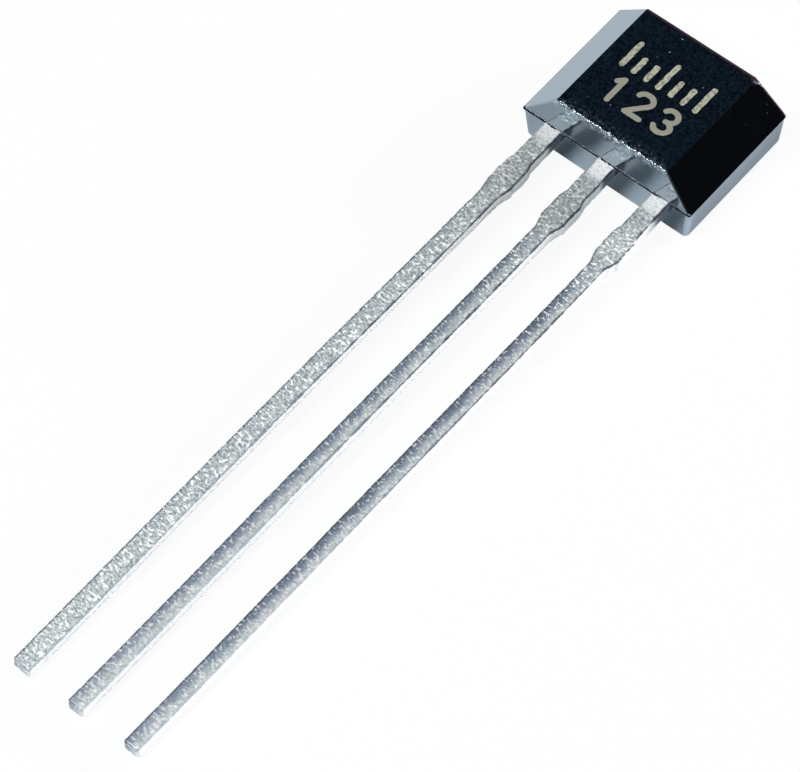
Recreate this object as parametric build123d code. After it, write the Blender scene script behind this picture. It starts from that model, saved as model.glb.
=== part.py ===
from build123d import *
import os
from math import radians, tan

# Three-pin magnetic field sensor in a small flat moulded package, in millimetres.
# The package lies on its back with the marked, bevelled face up (+Z). Its leads run towards -Y.
# The origin is the centre of the back face. The upper face of the frame metal is the mould's parting plane.

# Moulded package, measured across the parting plane
body_width = 4.00
body_height = 3.00
back_depth = 0.78
front_depth = 0.70
front_side_bevel_deg = 45.0
front_lead_end_draft_deg = 12.0
front_far_end_draft_deg = 6.0
front_corner_radius = 0.04
back_side_draft_deg = 5.0
back_end_draft_deg = 2.0
back_corner_radius = 0.10
rim_radius = 0.04

# Marks that the mould leaves on the hidden sides
ejector_mark_diameter = 0.90
ejector_mark_depth = 0.04
ejector_mark_from_far_end = 0.85
gate_scar_width = 0.70
gate_scar_height = 0.20
gate_scar_stand_off = 0.03

# Stamped lead frame, outside the moulding
frame_thickness = 0.31
lead_pitch = 1.27
lead_length = 14.70
root_width = 0.38
root_length = 0.93
shank_width = 0.34
tie_stub_width = 0.47
tie_stub_length = 0.69
tie_flare_length = 0.15
shank_taper_length = 0.30
tip_bevel = 0.05

# Stamped lead frame, inside the moulding
paddle_width = 1.70
paddle_height = 1.36
paddle_corner_radius = 0.10
far_tie_width = 0.30
far_tie_stand_off = 0.02
paddle_to_post_gap = 0.28
post_width = 0.96
post_height = 0.46
post_corner_radius = 0.08
post_outer_overhang = 0.08
lock_hole_diameter = 0.20
lock_notch_depth = 0.07
lock_notch_height = 0.20
lock_notch_from_lead_end = 0.30

# Silicon chip and its adhesive
sensing_spot_from_far_end = 1.44
sensing_spot_from_chip_edge = 0.24
chip_width = 1.15
chip_height = 1.05
chip_thickness = 0.18
adhesive_thickness = 0.02
adhesive_margin = 0.06

# Bond wires
pad_from_chip_edge = 0.12
pad_spacing = 0.40
wire_diameter = 0.030
ball_diameter = 0.085
ball_height = 0.030
loop_height = 0.17
loop_flat_length = 0.20
loop_bend_radius = 0.05
stitch_length = 0.10
stitch_width = 0.055
stitch_thickness = 0.012
stitch_from_post_end = 0.36
ground_stitch_below_paddle = 0.30

# Heights that follow from the stack
parting_z = back_depth
frame_bottom_z = parting_z - frame_thickness
adhesive_top_z = parting_z + adhesive_thickness
chip_top_z = adhesive_top_z + chip_thickness

# Places that follow from the sizes
far_end_y = body_height / 2
lead_end_y = -body_height / 2
chip_bottom_y = far_end_y - sensing_spot_from_far_end - sensing_spot_from_chip_edge
chip_centre_y = chip_bottom_y + chip_height / 2
pad_y = chip_bottom_y + pad_from_chip_edge
paddle_bottom_y = chip_centre_y - paddle_height / 2
post_centre_y = paddle_bottom_y - paddle_to_post_gap - post_height / 2
post_outer_x = lead_pitch + root_width / 2 + post_outer_overhang
post_inner_x = post_outer_x - post_width


def upright_strip(x, width, from_y, to_y):
    """A flat rectangle along Y about the line at x."""
    return Pos(x, (from_y + to_y) / 2) * Rectangle(width, to_y - from_y)


def stamped(outline):
    """An outline cut from the frame metal, whose upper face lies on the parting plane."""
    return Pos(0, 0, frame_bottom_z) * extrude(outline, frame_thickness)


def inset(depth, angle_deg):
    """How far a face that leans by an angle comes in over a depth."""
    return depth * tan(radians(angle_deg))


def mould_half(depth, side_inset, lead_end_inset, far_end_inset, corner_radius):
    """One half of the moulding, standing on the parting plane and narrowing towards its flat face."""
    half_width = body_width / 2
    across = Polyline(
        (-half_width, 0),
        (half_width, 0),
        (half_width - side_inset, depth),
        (side_inset - half_width, depth),
        close=True,
    )
    lengthways = Polyline(
        (lead_end_y, 0),
        (far_end_y, 0),
        (far_end_y - far_end_inset, depth),
        (lead_end_y + lead_end_inset, depth),
        close=True,
    )
    bar_along_y = extrude(Plane.XZ * make_face(across), body_height, both=True)
    bar_along_x = extrude(Plane.YZ * make_face(lengthways), body_width, both=True)
    block = bar_along_y & bar_along_x
    corners = block.edges().filter_by(lambda edge: abs(edge.center().Z - depth / 2) < depth / 4)
    block = fillet(corners, corner_radius)
    rim = block.faces().sort_by(Axis.Z)[-1].edges()
    return fillet(rim, rim_radius)


def package_block():
    """The moulding's outside: the bevelled front half and the plainer back half, back to back."""
    front_half = mould_half(
        front_depth,
        inset(front_depth, front_side_bevel_deg),
        inset(front_depth, front_lead_end_draft_deg),
        inset(front_depth, front_far_end_draft_deg),
        front_corner_radius,
    )
    back_half = mould_half(
        back_depth,
        inset(back_depth, back_side_draft_deg),
        inset(back_depth, back_end_draft_deg),
        inset(back_depth, back_end_draft_deg),
        back_corner_radius,
    )
    return Pos(0, 0, parting_z) * (front_half + mirror(back_half, about=Plane.XY))


def ejector_mark():
    """The shallow round dent that the ejector pin leaves in the back face."""
    dent = extrude(Circle(ejector_mark_diameter / 2), ejector_mark_depth)
    return Pos(0, far_end_y - ejector_mark_from_far_end) * dent


def gate_scar():
    """The low stump where the runner broke off the far end, just under the frame metal."""
    stump = Box(
        gate_scar_width,
        gate_scar_stand_off + gate_scar_height,
        gate_scar_height,
        align=(Align.CENTER, Align.MAX, Align.MAX),
    )
    return Pos(0, far_end_y + gate_scar_stand_off, frame_bottom_z) * stump


def outer_lead_outline(x):
    """A lead's outline outside the moulding: root, stub of the sheared tie bar, taper and plain shank."""
    stub_end = root_length + tie_stub_length
    half_widths = [
        (0, root_width / 2),
        (root_length, root_width / 2),
        (root_length + tie_flare_length, tie_stub_width / 2),
        (stub_end, tie_stub_width / 2),
        (stub_end + shank_taper_length, shank_width / 2),
        (lead_length, shank_width / 2),
    ]
    left = [(x - half, lead_end_y - along) for along, half in half_widths]
    right = [(x + half, lead_end_y - along) for along, half in half_widths]
    return make_face(Polyline(*left, *right[::-1], close=True))


def neck_outline(x, inner_y):
    """A lead's outline inside the moulding, with a notch in each side that locks it against a pull."""
    notch_y = lead_end_y + lock_notch_from_lead_end
    notch = Rectangle(2 * lock_notch_depth, lock_notch_height)
    left_notch = Pos(x - root_width / 2, notch_y) * notch
    right_notch = Pos(x + root_width / 2, notch_y) * notch
    return upright_strip(x, root_width, lead_end_y, inner_y) - left_notch - right_notch


def with_cut_tip(lead):
    """The lead with the four edges of its cut end bevelled."""
    cut_end = lead.faces().sort_by(Axis.Y)[0]
    return chamfer(cut_end.edges(), tip_bevel)


def post_lead(side):
    """An outer lead, on the left for a side of -1, with its bond post standing towards the middle."""
    x = side * lead_pitch
    post_x = side * (post_inner_x + post_outer_x) / 2
    post = RectangleRounded(post_width, post_height, post_corner_radius)
    outline = outer_lead_outline(x) + neck_outline(x, post_centre_y)
    outline += Pos(post_x, post_centre_y) * post
    outline -= Pos(x, post_centre_y) * Circle(lock_hole_diameter / 2)
    return with_cut_tip(stamped(outline))


def paddle_lead():
    """The middle lead, in one piece with the chip's paddle and the tie bar that held its far side."""
    paddle = RectangleRounded(paddle_width, paddle_height, paddle_corner_radius)
    outline = outer_lead_outline(0) + neck_outline(0, chip_centre_y)
    outline += Pos(0, chip_centre_y) * paddle
    outline += upright_strip(0, far_tie_width, chip_centre_y, far_end_y + far_tie_stand_off)
    return with_cut_tip(stamped(outline))


def adhesive():
    """The thin layer under the chip, squeezed out to a narrow margin around it."""
    sheet = RectangleRounded(
        chip_width + 2 * adhesive_margin,
        chip_height + 2 * adhesive_margin,
        adhesive_margin,
    )
    return Pos(0, chip_centre_y, parting_z) * extrude(sheet, adhesive_thickness)


def chip():
    """The silicon chip, with the sensing element and its circuit in its upper face."""
    die = Rectangle(chip_width, chip_height)
    return Pos(0, chip_centre_y, adhesive_top_z) * extrude(die, chip_thickness)


def bond_wire(pad_x, foot_x, foot_y):
    """A wire from its ball on a chip pad, up, level, and down to its flattened stitch on the frame metal."""
    pad = Vector(pad_x, pad_y, chip_top_z)
    foot = Vector(foot_x, foot_y, parting_z)
    outward = Vector(foot.X - pad.X, foot.Y - pad.Y, 0).normalized()
    crown = pad + Vector(0, 0, loop_height)
    landing = foot - outward * stitch_length / 4
    route = FilletPolyline(
        pad + Vector(0, 0, ball_height / 2),
        crown,
        crown + outward * loop_flat_length,
        landing + Vector(0, 0, stitch_thickness / 2),
        radius=[loop_bend_radius, 0],
    )
    section = Plane(route @ 0, z_dir=route % 0) * Circle(wire_diameter / 2)
    round_wire = sweep(section, route, transition=Transition.RIGHT)
    wire = split(round_wire, bisect_by=Plane.XY.offset(parting_z), keep=Keep.TOP)
    ball = Pos(pad) * extrude(Circle(ball_diameter / 2), ball_height)
    stitch_plane = Plane(origin=foot, x_dir=outward, z_dir=(0, 0, 1))
    stitch = extrude(stitch_plane * Ellipse(stitch_length / 2, stitch_width / 2), stitch_thickness)
    return wire + ball + stitch


def sensor_pieces():
    """Every piece of the sensor by its node name, with the moulding cast around all the others."""
    post_foot_x = post_inner_x + stitch_from_post_end
    ground_foot_y = paddle_bottom_y - ground_stitch_below_paddle
    pieces = {
        "supply_lead": post_lead(-1),
        "ground_lead": paddle_lead(),
        "output_lead": post_lead(1),
        "chip_adhesive": adhesive(),
        "sensor_chip": chip(),
        "supply_wire": bond_wire(-pad_spacing, -post_foot_x, post_centre_y),
        "ground_wire": bond_wire(0, 0, ground_foot_y),
        "output_wire": bond_wire(pad_spacing, post_foot_x, post_centre_y),
    }
    moulding = package_block() + gate_scar() - ejector_mark()
    for piece in pieces.values():
        moulding -= piece
    pieces["moulded_body"] = moulding
    return pieces


os.makedirs("parts", exist_ok=True)
for name, solid in sensor_pieces().items():
    export_step(solid, f"parts/{name}.step")
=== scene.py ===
"""Finish and studio for a three-lead magnetic field sensor, laid out as a Blender add-on."""
import math

import bpy
import numpy as np
from mathutils import Matrix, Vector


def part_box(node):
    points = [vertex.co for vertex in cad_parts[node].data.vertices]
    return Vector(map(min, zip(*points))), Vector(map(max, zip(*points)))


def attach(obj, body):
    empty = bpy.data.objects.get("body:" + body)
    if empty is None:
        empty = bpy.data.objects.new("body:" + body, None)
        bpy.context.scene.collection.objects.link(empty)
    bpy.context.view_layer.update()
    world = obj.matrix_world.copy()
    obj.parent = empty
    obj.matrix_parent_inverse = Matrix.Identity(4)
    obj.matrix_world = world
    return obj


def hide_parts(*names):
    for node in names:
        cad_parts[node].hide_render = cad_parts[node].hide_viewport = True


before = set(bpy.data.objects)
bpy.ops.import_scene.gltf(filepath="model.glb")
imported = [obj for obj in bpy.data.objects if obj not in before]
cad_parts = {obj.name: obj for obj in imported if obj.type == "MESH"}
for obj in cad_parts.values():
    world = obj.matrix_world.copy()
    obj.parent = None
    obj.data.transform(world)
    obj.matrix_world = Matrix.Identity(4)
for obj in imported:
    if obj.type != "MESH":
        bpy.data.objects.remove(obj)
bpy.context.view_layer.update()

bl_info = {
    "name": "Moulded sensor finish",
    "version": (1, 0, 0),
    "blender": (4, 5, 0),
    "location": "3D View > Sidebar > Sensor",
    "description": "Adds the moulded package, plated leads, marking and studio of a three-lead sensor",
    "category": "Add Mesh",
}

MM = 0.001
BODY_LOW, BODY_HIGH = (np.array(corner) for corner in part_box("moulded_body"))
MIDDLE_LEAD_LOW, MIDDLE_LEAD_HIGH = (np.array(corner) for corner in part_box("ground_lead"))
RIGHT_LEAD_LOW, RIGHT_LEAD_HIGH = (np.array(corner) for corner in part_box("output_lead"))
CHIP_LOW, CHIP_HIGH = (np.array(corner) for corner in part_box("sensor_chip"))

PARTING_HEIGHT = MIDDLE_LEAD_HIGH[2]
FRONT_HEIGHT = BODY_HIGH[2]
FRONT_DEPTH = FRONT_HEIGHT - PARTING_HEIGHT
HALF_WIDTH = BODY_HIGH[0]
LEAD_END = BODY_LOW[1]
FAR_END = -LEAD_END
LEAD_LENGTH = LEAD_END - MIDDLE_LEAD_LOW[1]
FRAME_THICKNESS = MIDDLE_LEAD_HIGH[2] - MIDDLE_LEAD_LOW[2]
FRAME_BOTTOM = PARTING_HEIGHT - FRAME_THICKNESS

# The frame metal inside the moulding, as in the solids
POST_HEIGHT = 0.46 * MM
POST_OVERHANG = 0.08 * MM
POST_RADIUS = 0.08 * MM
LOCK_HOLE_RADIUS = 0.10 * MM
PADDLE_HALF_HEIGHT = 0.68 * MM
PADDLE_RADIUS = 0.10 * MM
TIE_HALF_WIDTH = 0.15 * MM
TIE_RADIUS = 0.01 * MM

# How far a lead or the tie bar reaches into the plate that it is one with
SEAM = 0.005 * MM

# Stations across the lock notches in a lead's neck, in millimetres: place along the lead, and depth there
NOTCH_STEPS = ((-0.401, 0.0), (-0.40, 0.07), (-0.20, 0.07), (-0.199, 0.0))

# Places along a lead, as shares of its length, where its sideways shift is stated
PATH_STATIONS = (0.0, 0.15, 0.45, 0.72, 1.0)

# Profile across the parting line: millimetres below it and share of the flash, then millimetres above it and
# share of the groove. Short steps at the corners keep the smooth normals of the wall next to them true.
FLASH_STEPS = ((0.024, 0.0), (0.010, 0.3), (0.004, 1.0), (0.0003, 1.0), (0.0, 0.995), (0.0, 0.93))
GROOVE_STEPS = ((0.0002, 0.96), (0.0003, 1.0), (0.0020, 0.97), (0.0590, 0.02), (0.0600, 0.0), (0.0604, 0.0))

# Profile of the ejector mark: share of its radius, and share of its depth there
DENT_STEPS = ((0.5, 1), (0.93, 1), (0.965, 0.97), (0.985, 0.85), (0.995, 0.25), (1.005, 0.03), (1.02, 0))

# The marked skin starts a little under the face, and each stroke lies a little higher than the last
MARK_EMBED = 0.001 * MM
MARK_STEP = 0.00004 * MM
FIRST_RAGGED_MARK = 5

# How far the turned and plated lead tips reach below the frame metal, and the gap that the floor leaves
TIP_DROP = 0.03 * MM
FLOOR_GAP = 0.002 * MM

# The camera, fitted to the package's corners and the leads' ends: place in millimetres, and two directions
CAMERA_PLACE = (25.30, -35.354, 61.079)
CAMERA_RIGHT = (0.76531, 0.64322, -0.02386)
CAMERA_FORWARD = (-0.35403, 0.38968, -0.85019)

# Each lamp's direction from the part, distance and side in millimetres, and the setting of its brightness
LAMP_AIM = (0.0, -3.0, 0.0)
LAMPS = {
    "key lamp": ((-0.24, -0.42, 0.875), 110.0, 48.0, "key_radiance"),
    "back lamp": ((0.50, 0.84, 0.22), 120.0, 30.0, "back_radiance"),
    "fill lamp": ((0.88, -0.42, 0.15), 120.0, 30.0, "fill_radiance"),
}

# Order of the four sides in every ring of points, anticlockwise about the direction of the rows
RIGHT, FAR, LEFT, NEAR = range(4)

# Order of the leads in every setting that holds one value for each of them
LEFT_LEAD, MIDDLE_LEAD, RIGHT_LEAD = range(3)


def setting(name, description, value, subtype="NONE", **limits):
    """A number that the user can change, or a row of numbers."""
    shared = {"name": name, "description": description, "default": value, **limits}
    if isinstance(value, float):
        return bpy.props.FloatProperty(subtype=subtype, **shared)
    kind = "COLOR" if subtype == "COLOR" else "NONE"
    return bpy.props.FloatVectorProperty(size=len(value), subtype=kind, **shared)


def length(name, description, millimetres):
    """A length or shift, or a row of them, given in millimetres and kept in metres."""
    metres = np.multiply(millimetres, MM).tolist()
    return setting(name, description, metres, "DISTANCE", unit="LENGTH", precision=6)


def angle(name, description, degrees):
    """An angle, or a row of them, given in degrees and kept in radians."""
    return setting(name, description, np.radians(degrees).tolist(), "ANGLE", unit="ROTATION")


def colour(name, description, value):
    """A linear colour."""
    return setting(name, description, value, "COLOR", min=0.0, max=1.0)


def share(name, description, value, top=1.0):
    """A plain number from nought up to a limit, or a row of them."""
    return setting(name, description, value, "FACTOR", min=0.0, max=top)


class MouldingSettings(bpy.types.PropertyGroup):
    side_bevel: angle("Side bevel", "Lean of the two long sides of the front half", 45.0)
    lead_end_draft: angle("Lead end draft", "Lean of the front half's end above the leads", 12.0)
    far_end_draft: angle("Far end draft", "Lean of the front half's far end", 6.0)
    back_side_draft: angle("Back side draft", "Lean of the back half's sides", 5.0)
    back_end_draft: angle("Back end draft", "Lean of the back half's ends", 2.0)
    rim_radius: length("Rim radius", "Rounding of the front and back faces' edges", 0.04)
    front_corner: length("Front corner radius", "Rounding between the front half's walls", 0.04)
    back_corner: length("Back corner radius", "Rounding between the back half's walls", 0.10)
    flash: length("Flash", "How far the thin flash stands out along the parting line", 0.008)
    groove: length("Groove", "Depth of the fine groove above the flash", 0.034)
    grain_depth: length("Grain", "Depth of the skin's faint unevenness", 0.0006)
    chip_depth: length("Chipping", "Depth of the chipped grain along the edge above the leads", 0.022)
    mark_diameter: length("Ejector mark", "Diameter of the round dent in the back face", 0.90)
    mark_depth: length("Ejector depth", "Depth of the round dent in the back face", 0.04)
    mark_from_far_end: length("Ejector place", "From the far end to the middle of the dent", 0.85)
    scar_width: length("Gate scar width", "Width of the stump where the runner broke off", 0.70)
    scar_height: length("Gate scar height", "Height of the stump where the runner broke off", 0.20)
    scar_stand_off: length("Gate scar stand-off", "How far the stump stands out of the far end", 0.03)
    compound: colour("Compound", "Colour of the moulding compound", (0.0012, 0.0014, 0.0022))
    haze: colour("Haze", "Colour of the front face's navy mottling", (0.0200, 0.0430, 0.0740))
    sheen: colour("Sheen", "Tint of the skin's reflections", (0.75, 0.90, 1.0))
    dust: colour("Dust", "Colour of the specks of filler in its skin", (0.52, 0.56, 0.58))
    rust: colour("Rim", "Colour of the warm line along the far rim of the front face", (0.045, 0.016, 0.019))
    roughness: share("Roughness", "Roughness of the moulded skin", 0.06)
    bare_roughness: share("Bare roughness", "Roughness of the dull far rim", 0.7)


class LeadSettings(bpy.types.PropertyGroup):
    """Where a setting holds three values, they are for the left, middle and right lead."""

    root_width: length("Root width", "Width next to the moulding", 0.38)
    root_length: length("Root length", "From the moulding to the stub of the tie bar", 0.93)
    flare_length: length("Flare", "Length over which the root widens to the stub", 0.15)
    stub_width: length("Stub width", "Width over the stubs of the sheared tie bar", 0.47)
    stub_length: length("Stub length", "Length of the tie bar's stub", 0.69)
    taper_length: length("Taper", "Length over which the stub narrows to the shank", 0.30)
    shank_width: length("Shank widths", "Width of each lead's long plain shank", (0.352, 0.298, 0.292))
    reach: length("Reach", "How much longer each lead was cut", (0.055, 0.055, 0.02))
    twist: angle("Twist", "Turn of each lead from root to tip", (-7.0, -3.0, -3.0))
    left_path: length("Left path", "Left lead's sideways shifts", (0.006, 0.015, -0.016, -0.016, -0.002))
    middle_path: length("Middle path", "Middle lead's sideways shifts", (0.022, 0.036, 0.016, 0.009, 0.001))
    right_path: length("Right path", "Right lead's sideways shifts", (0.036, 0.052, 0.033, 0.020, 0.005))
    plating: length("Plating", "How far the plating stands out of each stamped side", 0.024)
    corner_radius: length("Edge radius", "Rounding of the plated edges", 0.055)
    tip_bevel: length("Tip bevel", "Bevel round the cut tip", 0.03)
    pebble_depth: length("Pebbling depth", "Depth of the pebbled grain of the plating", 0.0065)
    swell_depth: length("Swell", "Depth of the plating's long waves", 0.004)
    torn_depth: length("Torn sides", "Depth of the torn grain where the tie bar was sheared", 0.014)
    burr_height: length("Burr", "Height of the burr at the end of each stub", 0.022)
    pebbling: share("Pebbling", "Share of the pebbling on each shank", (0.9, 0.5, 0.45))
    # Painted shade: how dark each shank's upper left half is painted
    shade: share("Shade", "How dark the left half of each shank's upper face is", (0.08, 0.50, 0.60))
    # Painted light and shade: how bright each lead's sheared right side is painted
    side: share("Sides", "Brightness of each lead's sheared right side", (1.0, 0.97, 0.90))
    # Painted highlight: how bright each lead's root next to the moulding is painted
    root: share("Roots", "Brightness of each lead next to the moulding", (0.86, 1.0, 1.0))
    # Painted shade: how dark the painted line along each lead's right upper edge is
    edge_shade_line: share("Edge line", "How dark the burnished line along the right upper edge is", 0.92)
    # Painted shade: how dark each lead's left upper edge is painted
    left_edge_shade: share("Left line", "How dark the left upper edge is", 0.55)
    # Painted shade: how dark each lead's right side is painted next to the moulding
    root_side_shade: share("Root side", "How dark the right side is next to the moulding", 0.88)
    tin: colour("Tin", "Colour of the matt tin plating", (0.87, 0.91, 0.91))
    # Painted shade: the plating is painted this darker colour in the pebbled grain's hollows, and in cloudy
    # darker patches
    tin_shade: colour("Tin shade", "Colour of the plating in its hollows", (0.32, 0.41, 0.44))
    # Painted shade: the pits in the painted root highlight are painted this darker colour
    tin_pit: colour("Pits", "Colour of the pits in the bright plating", (0.66, 0.70, 0.72))
    tin_smooth: colour("Smooth tin", "Colour of the smoother plating on the shanks", (0.80, 0.84, 0.85))
    # Painted highlight colour: used for the bright root, for the sides painted bright as a reflection of the
    # pale floor, and for the glints
    tin_highlight: colour("Bright tin", "Colour of the smooth plating next to the moulding", (0.97, 0.98, 0.98))
    # Painted shade colour: the bluish tint of the painted shade on the shanks, the edge line and the root
    # sides
    shade_tint: colour("Tarnish", "Colour of the duller, bluish band along the shanks", (0.67, 0.78, 1.0))
    metal: share("Metal", "How mirror-like the plating is", 0.4)
    roughness: share("Roughness", "Roughness of the plating", 0.36)


class MarkingSettings(bpy.types.PropertyGroup):
    stroke: length("Stroke", "Width of the marked strokes", 0.115)
    skin: length("Skin", "How far the marked skin stands out of the face", 0.0015)
    figure_height: length("Figure height", "Height of the pin numbers", 0.68)
    figure_width: length("Figure width", "Width of the pin numbers", 0.34)
    figure_pitch: length("Figure pitch", "Distance between the middles of the pin numbers", 0.60)
    figure_row: length("Figure row", "Height of the row of pin numbers on the face", -0.46)
    scale_row: length("Scale row", "Height of the row of plain strokes on the face", 0.38)
    scale_pitch: length("Scale pitch", "Distance between the plain strokes", 0.29)
    long_stroke: length("Long stroke", "Length of every third plain stroke", 0.60)
    short_stroke: length("Short stroke", "Length of the other plain strokes", 0.34)
    ragged: length("Ragged", "How far the deeper strokes' edges wander", 0.012)
    ink: colour("Mark", "Colour of the burnt pin numbers", (0.275, 0.275, 0.22))
    deep_ink: colour("Deep mark", "Colour of the deeper burnt strokes", (0.42, 0.43, 0.33))


class InsideSettings(bpy.types.PropertyGroup):
    silicon: colour("Silicon", "Colour of the chip", (0.10, 0.11, 0.14))
    circuit: colour("Circuit", "Colour of the metal tracks on the chip", (0.42, 0.40, 0.36))
    adhesive: colour("Adhesive", "Colour of the silver-filled adhesive", (0.52, 0.52, 0.50))
    gold: colour("Gold", "Colour of the bond wires", (0.80, 0.56, 0.22))
    gold_light: colour("Gold light", "Colour of the bond wires' brighter lines", (0.95, 0.78, 0.45))


class StageSettings(bpy.types.PropertyGroup):
    floor_colour: colour("Floor", "Colour of the pale, slightly cool floor", (0.78, 0.825, 0.87))
    floor_size: length("Floor size", "Side of the square floor", 600.0)
    shadow_share: share("Shadow", "How much of the floor's own light and shadow the camera sees", 0.07)
    gloss_share: share("Gloss", "How much plain white the mirroring skins see in place of the studio", 0.0)
    sky: share("Sky", "Strength of the pale surroundings", 0.075, 4.0)
    ceiling: share("Ceiling", "Strength of the dark band of ceiling that the front face mirrors", 0.004, 4.0)
    key_radiance: share("Key", "Brightness of the lamp above the leads, a little to their left", 14.0, 200.0)
    back_radiance: share("Back", "Brightness of the low lamp behind the package on the right", 76.0, 200.0)
    fill_radiance: share("Fill", "Brightness of the low lamp on the right", 13.0, 200.0)
    lens: bpy.props.FloatProperty(name="Lens", description="Focal length in millimetres", default=175.95)


def unit(vector):
    """The same direction with a length of one, along the last axis."""
    return vector / np.linalg.norm(vector, axis=-1, keepdims=True)


def smooth_step(low, high, value):
    """Nought below low, one above high, and an S-shaped rise between them."""
    fraction = np.clip((value - low) / (high - low), 0.0, 1.0)
    return fraction * fraction * (3.0 - 2.0 * fraction)


def bump(centre, half_width, value):
    """A bell that is one at the centre and fades within a few half widths."""
    return np.exp(-(((value - centre) / half_width) ** 2))


def lattice_value(corner, seed):
    """A fixed random number from -1 to 1 for each whole-numbered corner of a lattice."""
    mixed = corner[..., 0] * 73856093 ^ corner[..., 1] * 19349663 ^ corner[..., 2] * 83492791
    mixed = (mixed ^ seed * 2654435761) & 0xFFFFFFFF
    mixed = ((mixed ^ mixed >> 15) * 2246822519) & 0xFFFFFFFF
    mixed = ((mixed ^ mixed >> 13) * 3266489917) & 0xFFFFFFFF
    return (mixed ^ mixed >> 16) / 2147483648.0 - 1.0


def smooth_noise(points, cell, seed):
    """Value noise from -1 to 1: the lattice values round a point, blended by smooth steps."""
    scaled = points / cell
    base = np.floor(scaled).astype(np.int64)
    fraction = smooth_step(0.0, 1.0, scaled - base)
    total = np.zeros(points.shape[:-1])
    for step in np.ndindex(2, 2, 2):
        step = np.array(step)
        weight = np.prod(np.where(step, fraction, 1.0 - fraction), axis=-1)
        total += weight * lattice_value(base + step, seed)
    return total


def rounded_corner(before, corner, after, radius, count):
    """The arc that touches two straight runs: its ends lie radius / tan(half the angle) from their corner."""
    to_before = unit(before - corner)
    to_after = unit(after - corner)
    half_angle = math.acos(np.dot(to_before, to_after)) / 2
    centre = corner + unit(to_before + to_after) * radius / math.sin(half_angle)
    reach = radius / math.tan(half_angle)
    first = corner + to_before * reach - centre
    last = corner + to_after * reach - centre
    sweep = math.pi - 2 * half_angle
    turn = np.linspace(0.0, sweep, count)[:, None]
    return centre + (np.sin(sweep - turn) * first + np.sin(turn) * last) / math.sin(sweep)


def straight(first, last, count):
    """Evenly spaced points strictly between two points."""
    fraction = np.linspace(0.0, 1.0, count + 2)[1:-1, None]
    return first + (last - first) * fraction


def rounded_rings(right, far, left, near, radius, side_counts, corner_count):
    """Rounded rectangles, one a row: points on four straight sides and on four quarter circles between them.

    Each side is given as one value a row. Also returns how much of each side belongs to each column.
    """
    side_ends = [
        ((right, near + radius), (right, far - radius)),
        ((right - radius, far), (left + radius, far)),
        ((left, far - radius), (left, near + radius)),
        ((left + radius, near), (right - radius, near)),
    ]
    centres = [
        (right - radius, far - radius),
        (left + radius, far - radius),
        (left + radius, near + radius),
        (right - radius, near + radius),
    ]
    columns = []
    shares = []
    part = np.linspace(0.0, 1.0, corner_count + 2)[1:-1]
    for side, count in enumerate(side_counts):
        fraction = np.linspace(0.0, 1.0, count)
        (x0, y0), (x1, y1) = side_ends[side]
        run = [np.outer(a, 1 - fraction) + np.outer(b, fraction) for a, b in ((x0, x1), (y0, y1))]
        turn = (side + part) * math.pi / 2
        cx, cy = centres[side]
        arc = [cx[:, None] + np.outer(radius, np.cos(turn)), cy[:, None] + np.outer(radius, np.sin(turn))]
        columns += [np.stack(run, axis=-1), np.stack(arc, axis=-1)]
        weights = np.zeros((count + corner_count, 4))
        weights[:count, side] = 1.0
        weights[count:, side] = 1.0 - part
        weights[count:, (side + 1) % 4] = part
        shares.append(weights)
    return np.concatenate(columns, axis=1), np.concatenate(shares)


def outward(rows):
    """Unit normals of a grid of closed rings: the cross product of its steps along and across the rings."""
    along_ring = np.roll(rows, -1, axis=1) - np.roll(rows, 1, axis=1)
    across_rings = np.gradient(rows, axis=0)
    normal = np.cross(along_ring, across_rings)
    return normal / np.maximum(np.linalg.norm(normal, axis=-1, keepdims=True), 1e-15)


def ring_faces(row_count, column_count, next_row):
    """Four-sided faces from each ring in a column of row numbers to the ring that is next to it."""
    row = np.arange(row_count)[:, None]
    column = np.arange(column_count)[None, :]
    following = (column + 1) % column_count
    corners = ((row, column), (row, following), (next_row, following), (next_row, column))
    return np.stack([r * column_count + c for r, c in corners], axis=-1).reshape(-1, 4)


def closed_surface(rows, first_pole, last_pole):
    """Vertices and faces of closed rings joined by four-sided faces, with a fan to a pole at each end."""
    row_count, column_count = rows.shape[:2]
    poles = np.array([first_pole, last_pole])
    vertices = np.concatenate([poles[:1], rows.reshape(-1, 3), poles[1:]])
    quads = 1 + ring_faces(row_count - 1, column_count, np.arange(1, row_count)[:, None])
    ring = 1 + np.arange(column_count)
    following = np.roll(ring, -1)
    top = column_count * (row_count - 1)
    first_fan = np.stack([np.zeros_like(ring), following, ring], axis=-1)
    last_fan = np.stack([np.full_like(ring, len(vertices) - 1), top + ring, top + following], axis=-1)
    return vertices, [quads, np.concatenate([first_fan, last_fan])]


def hollow_surface(rows):
    """Vertices and faces of rings that close on themselves both ways, as round a plate with a hole."""
    row_count, column_count = rows.shape[:2]
    next_row = np.roll(np.arange(row_count), -1)[:, None]
    return rows.reshape(-1, 3), [ring_faces(row_count, column_count, next_row)]


def levelled(outlines, heights):
    """Rings of points from outlines in plan, each at its height."""
    pairs = zip(outlines, heights)
    return np.stack([np.column_stack([outline, np.full(len(outline), height)]) for outline, height in pairs])


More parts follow.
